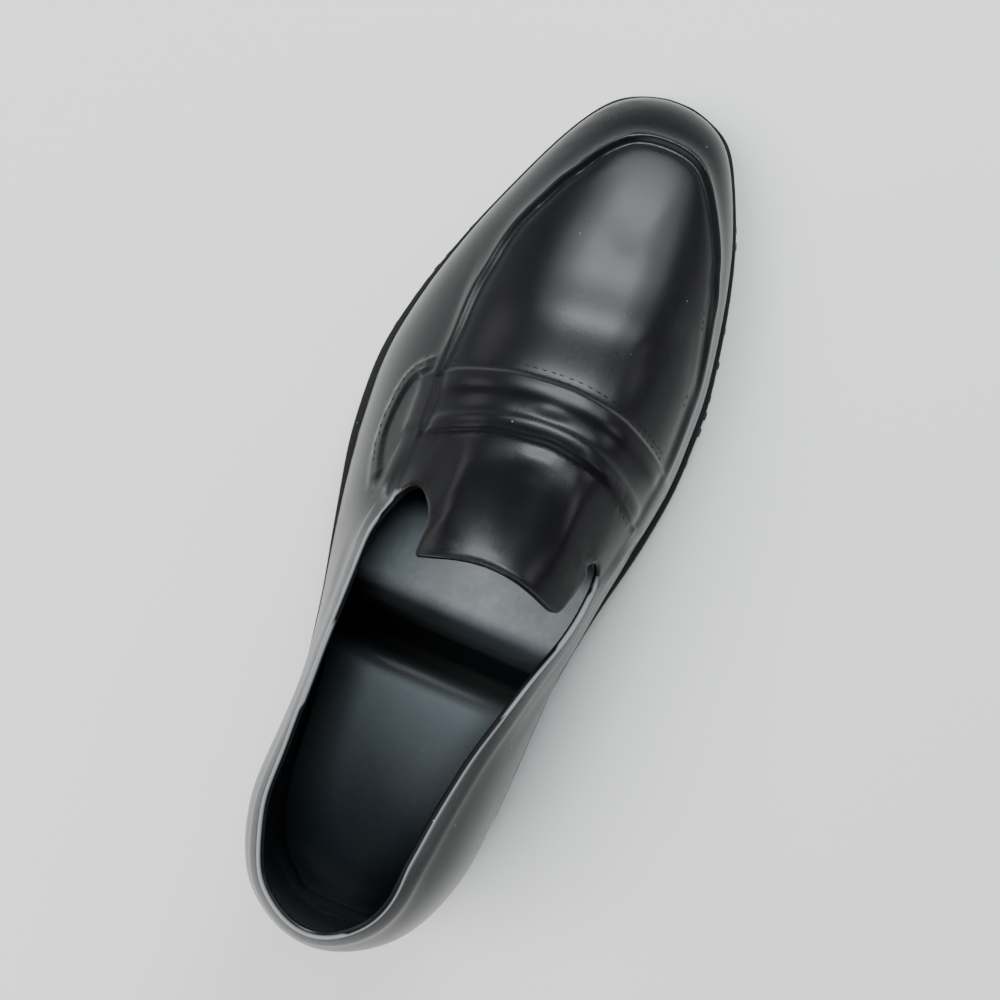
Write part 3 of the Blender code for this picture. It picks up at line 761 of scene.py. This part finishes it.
def add_sole_lugs(material):
    """The tread's side lugs, which stand a little proud of the sole's edge."""
    chance = np.random.default_rng(LUG_SEED)
    mesh = bmesh.new()
    for hit, out in lug_places():
        proud = chance.uniform(*LUG_PROUD)
        along = (-DOWN).cross(out)
        turn = Matrix((along, out, -DOWN)).transposed().to_4x4()
        size = [s * chance.uniform(*LUG_VARIES) for s in LUG_SIZE]
        place = Matrix.Translation(hit + out * (proud - size[1] / 2)) @ turn @ Matrix.Diagonal((*size, 1.0))
        bmesh.ops.create_cube(mesh, size=1.0, matrix=place)
    bmesh.ops.bevel(
        mesh,
        geom=list(mesh.edges),
        offset=LUG_ROUNDING,
        segments=2,
        profile=0.5,
        affect="EDGES",
        material=-1,
    )
    finished("sole_lugs", mesh, material, slot="outsole")


class OVERSHOE_OT_sole(bpy.types.Operator):
    """Make the outsole with its side lugs, and the two tread pads"""

    bl_idname = "overshoe.sole"
    bl_label = "Sole"

    def execute(self, context):
        skin, _ = settings_groups()
        finish, height = rubber_finish("sole_rubber", skin.sole_colour, 0.42, skin.dust)
        finish.bump(height, 0.0005, 0.5)
        mesh = merged_copy("outsole")
        crease_edges(mesh, math.radians(25), 0.8)
        mesh = smoothed(mesh, 2)
        finished("dressed_outsole", mesh, finish.material, "outsole", "outsole")
        add_sole_lugs(finish.material)
        tread, height = rubber_finish("tread_rubber", skin.sole_colour, 0.55, skin.dust * 2)
        tread.bump(height, 0.0006, 0.6)
        for node in ("heel_tread", "forefoot_tread"):
            mesh = merged_copy(node)
            crease_edges(mesh, math.radians(25), 0.9)
            mesh = smoothed(mesh, 2)
            finished("dressed_" + node, mesh, tread.material, node, node)
        return {"FINISHED"}


# Pale bloom on the footbed's waist and, faint, on its seat, in part real whitish bloom and in part a
# painted highlight where the light falls: where each patch starts, is full, fades and stops along the shoe,
# and how strong it is
BLOOM_AND_HIGHLIGHT = (
    (0.060, 0.067, 0.084, 0.095, 1.0),
    (-0.020, 0.025, 0.040, 0.047, 0.12),
)
BLOOM_AND_HIGHLIGHT_COLOUR = (0.74, 0.80, 0.82)

# The riser's painted shade, a blacker colour on the step that faces away from the light, and the dull bends
# at its foot and top: where each starts, is full, fades and stops along the shoe
RISER = (0.038, 0.045, 0.056, 0.062)
RISER_BENDS = ((0.036, 0.040, 0.046, 0.050), (0.054, 0.056, 0.060, 0.064))
RISER_PAINTED_SHADE_COLOUR = (0.003, 0.0035, 0.004)
BEND_DULLER = 0.6
FOOTBED_COAT = 0.3

# The bloom and painted highlight's strongest share of the colour, its patches and grain in waves to a
# metre, and the places across the shoe between which the painted highlight grows towards the outer side
BLOOM_AND_HIGHLIGHT_SHARE = 0.95
BLOOM_AND_HIGHLIGHT_PATCHES = 45.0
BLOOM_AND_HIGHLIGHT_GRAIN = 420.0
PAINTED_HIGHLIGHT_ACROSS = (-0.03, 0.025)


def add_bloom_and_painted_light(finish):
    """Adds the footbed's pale bloom with its painted highlight, its riser's painted shade with dull bends,
    and its coat.
    """
    along = finish.add("ShaderNodeSeparateXYZ", {}, {"Vector": finish.place}, "X")
    across = finish.add("ShaderNodeSeparateXYZ", {}, {"Vector": finish.place}, "Y")
    patchy = finish.noise(BLOOM_AND_HIGHLIGHT_PATCHES, 4.0, None, 0.6).ramp(0.30, 0.75)
    grainy = finish.noise(BLOOM_AND_HIGHLIGHT_GRAIN, 3.0).ramp(0.42, 0.70)
    share = 0.0
    for first, full, fades, last, strength in BLOOM_AND_HIGHLIGHT:
        share = share + along.band(first, full, fades, last) * strength
    share = share * (patchy * 0.25 + grainy * 0.08 + 0.67) * (across.ramp(*PAINTED_HIGHLIGHT_ACROSS) * 0.6 + 0.4)
    # Pale bloom, in part real and in part a painted highlight on the waist, stronger towards the outer side
    finish.lay_over(share * BLOOM_AND_HIGHLIGHT_SHARE, BLOOM_AND_HIGHLIGHT_COLOUR)
    riser = along.band(*RISER)
    # Painted shade: the riser, which faces away from the light, is made blacker
    finish.lay_over(riser, RISER_PAINTED_SHADE_COLOUR)
    dull = 0.0
    for bend in RISER_BENDS:
        dull = dull + along.band(*bend)
    finish.set("Roughness", finish.fed("Roughness") + dull * BEND_DULLER)
    finish.set("Coat Weight", (1 - riser) * FOOTBED_COAT)


# The footbed's round back end in metres: how far its middle moves back, over what length, and how
# close to the end its width is taken
SEAT_ROUND = 0.0045
SEAT_ROUND_LENGTH = 0.014
SEAT_END = 0.0015


def round_heel_seat(mesh):
    """Rounds the footbed's back end to the heel's curve."""
    back = min(v.co.x for v in mesh.verts)
    half = max(abs(v.co.y) for v in mesh.verts if v.co.x < back + SEAT_END)
    for vertex in mesh.verts:
        near = 1 - smooth_step(vertex.co.x, back, back + SEAT_ROUND_LENGTH)
        across = min(abs(vertex.co.y) / half, 1.0)
        vertex.co.x -= SEAT_ROUND * near * (1 - across**2)


class OVERSHOE_OT_footbed(bpy.types.Operator):
    """Make the glossy footbed with its heel seat and riser"""

    bl_idname = "overshoe.footbed"
    bl_label = "Footbed"

    def execute(self, context):
        skin, _ = settings_groups()
        mesh = merged_copy("insole")
        crease_edges(mesh, math.radians(60), 0.75)
        mesh = smoothed(mesh, 4)
        round_heel_seat(mesh)
        finish, height = rubber_finish("footbed_rubber", skin.footbed_colour, 0.25, skin.dust, mirror=0.32)
        add_bloom_and_painted_light(finish)
        finish.bump(height, 0.0005, 0.5)
        finished("dressed_footbed", mesh, finish.material, "insole", "insole")
        return {"FINISHED"}


# The photograph's camera, fitted to the shoe's outline: its place, the ways that are right, up and
# back for it, its focal length in millimetres, and the shoe's middle in widths of the picture
SENSOR_WIDTH = 36.0
CAMERA_PLACE = (0.05077, -0.01573, 0.37741)
PHOTO_RIGHT = (0.394179, -0.916571, 0.067239)
PHOTO_UP = (0.917773, 0.396414, 0.023428)
PHOTO_BACK = (-0.048128, 0.052476, 0.997462)
PHOTO_FOCAL = 34.2
SHOE_MIDDLE_IN_PHOTO = (-0.0530, 0.1240)
NEAREST_SEEN = 0.01

# The floor: half its side in metres, its roughness and mirror, and its faint pale patches
FLOOR_HALF = 3.0
FLOOR_ROUGHNESS = 0.55
FLOOR_MIRROR = 0.2
FLOOR_PATCHES = 1.2
FLOOR_LIGHTER = 1.04

# The studio's lights, where the photograph's reflections put them: azimuth from the toe towards the
# outer side and elevation in degrees, distance, width and height in metres, brightness and colour
LIGHTS = (
    ("toe_window", 0.0, 34.5, 1.15, 1.00, 0.17, 12.0, (0.95, 0.98, 1.0)),
    ("toe_window_core", 4.0, 36.5, 1.15, 0.45, 0.12, 32.0, (0.93, 0.97, 1.0)),
    ("tongue_outer", 52.0, 30.0, 1.30, 0.22, 0.34, 5.0, (1.0, 1.0, 1.0)),
    ("tongue_inner", -46.0, 34.0, 1.30, 0.26, 0.30, 4.5, (1.0, 1.0, 1.0)),
    ("overhead_softbox", 0.0, 84.0, 1.30, 0.42, 0.42, 2.5, (0.93, 0.97, 1.0)),
    ("heel_softbox", 180.0, 87.0, 1.32, 0.34, 0.34, 4.2, (0.70, 0.88, 1.0)),
    ("back_softbox", 138.0, 52.0, 1.50, 1.30, 0.85, 8.5, (1.0, 1.0, 0.99)),
    ("outer_fill", 90.0, 20.0, 1.40, 1.60, 0.40, 1.0, (1.0, 1.0, 1.0)),
    ("inner_fill", -90.0, 20.0, 1.40, 1.60, 0.40, 0.8, (1.0, 1.0, 1.0)),
)
LIT_POINT = (0.15, 0.0, 0.04)

# Brightness of the pale walls and of what is overhead, and the heights between which one becomes
# the other, as the sine of the elevation
WALL_LIGHT = 1.25
TOP_LIGHT = 0.015
WALLS_TO = (0.05, 0.32)
WALL_COLOUR = (0.97, 0.99, 1.0, 1.0)


def add_light(name, azimuth, elevation, distance, width, height, radiance, colour):
    """A soft area light that faces the shoe; its power follows from its size and brightness."""
    azimuth, elevation = math.radians(azimuth), math.radians(elevation)
    level = math.cos(elevation)
    way = Vector((level * math.cos(azimuth), level * math.sin(azimuth), math.sin(elevation)))
    data = bpy.data.lights.new(name, "AREA")
    data.shape = "RECTANGLE"
    data.size = width
    data.size_y = height
    data.energy = radiance * math.pi * width * height
    data.color = colour
    light = bpy.data.objects.new(name, data)
    light.location = Vector(LIT_POINT) + way * distance
    light.rotation_euler = (-way).to_track_quat("-Z", "Y").to_euler()
    bpy.context.scene.collection.objects.link(light)


def add_surround():
    """Pale walls round the shoe that darken overhead, as in an open-topped white box."""
    world = bpy.data.worlds.new("studio")
    world.use_nodes = True
    nodes = Nodes(world.node_tree)
    way = nodes.add("ShaderNodeTexCoord", {}, {}, "Generated")
    height = nodes.add("ShaderNodeSeparateXYZ", {}, {"Vector": way}, "Z")
    walls = 1 - height.ramp(*WALLS_TO)
    background = world.node_tree.nodes["Background"]
    background.inputs["Color"].default_value = WALL_COLOUR
    nodes.feed(background.inputs["Strength"], walls * (WALL_LIGHT - TOP_LIGHT) + TOP_LIGHT)
    bpy.context.scene.world = world


def add_camera(stage):
    """The photograph's camera, turned about its own place until the one shoe is in the middle."""
    data = bpy.data.cameras.new("camera")
    data.sensor_width = SENSOR_WIDTH
    data.lens = stage.focal_length
    data.clip_start = NEAREST_SEEN
    camera = bpy.data.objects.new("camera", data)
    bpy.context.scene.collection.objects.link(camera)
    right, up, back = Vector(PHOTO_RIGHT), Vector(PHOTO_UP), Vector(PHOTO_BACK)
    x, y = SHOE_MIDDLE_IN_PHOTO
    middle = (right * x + up * y - back * (PHOTO_FOCAL / SENSOR_WIDTH)).normalized()
    new_back = -middle
    new_right = up.cross(new_back).normalized()
    new_up = new_back.cross(new_right)
    turn = Matrix((new_right, new_up, new_back)).transposed().to_4x4()
    camera.matrix_world = Matrix.Translation(CAMERA_PLACE) @ turn
    bpy.context.scene.camera = camera


class OVERSHOE_OT_stage(bpy.types.Operator):
    """Set the pale floor, the soft studio lights and the photograph's camera"""

    bl_idname = "overshoe.stage"
    bl_label = "Stage"

    def execute(self, context):
        _, stage = settings_groups()
        mesh = bmesh.new()
        bmesh.ops.create_grid(mesh, x_segments=4, y_segments=4, size=FLOOR_HALF)
        finish = Finish("floor_paint", FLOOR_ROUGHNESS)
        broad = finish.noise(FLOOR_PATCHES, 2.0)
        floor_colour = tuple(stage.floor_colour)
        finish.set("Base Color", finish.mixed(broad, floor_colour, lighter(floor_colour, FLOOR_LIGHTER)))
        finish.shader.inputs["Specular IOR Level"].default_value = FLOOR_MIRROR
        data = bpy.data.meshes.new("floor")
        mesh.to_mesh(data)
        mesh.free()
        data.materials.append(finish.material)
        floor = bpy.data.objects.new("floor", data)
        context.scene.collection.objects.link(floor)
        power = stage.light_power
        for name, azimuth, elevation, distance, width, height, radiance, colour in LIGHTS:
            add_light(name, azimuth, elevation, distance, width, height, radiance * power, colour)
        add_surround()
        add_camera(stage)
        return {"FINISHED"}


class OVERSHOE_PT_panel(bpy.types.Panel):
    """The overshoe's pieces and settings"""

    bl_idname = "OVERSHOE_PT_panel"
    bl_label = "Overshoe"
    bl_space_type = "VIEW_3D"
    bl_region_type = "UI"
    bl_category = "Overshoe"

    def draw(self, context):
        for operator in OPERATORS:
            self.layout.operator(operator.bl_idname)
        for group in settings_groups():
            for name in group.bl_rna.properties.keys():
                if name not in ("rna_type", "name"):
                    self.layout.prop(group, name)


OPERATORS = (
    OVERSHOE_OT_upper,
    OVERSHOE_OT_stitches,
    OVERSHOE_OT_sole,
    OVERSHOE_OT_footbed,
    OVERSHOE_OT_stage,
)
CLASSES = (OvershoeSkinSettings, OvershoeStageSettings, *OPERATORS, OVERSHOE_PT_panel)


def register():
    for made in CLASSES:
        bpy.utils.register_class(made)
    bpy.types.Scene.overshoe_skin = PointerProperty(type=OvershoeSkinSettings)
    bpy.types.Scene.overshoe_stage = PointerProperty(type=OvershoeStageSettings)


def unregister():
    del bpy.types.Scene.overshoe_stage
    del bpy.types.Scene.overshoe_skin
    for made in reversed(CLASSES):
        bpy.utils.unregister_class(made)


def main():
    register()
    bpy.ops.overshoe.upper()
    bpy.ops.overshoe.stitches()
    bpy.ops.overshoe.sole()
    bpy.ops.overshoe.footbed()
    bpy.ops.overshoe.stage()


if __name__ == "__main__":
    main()
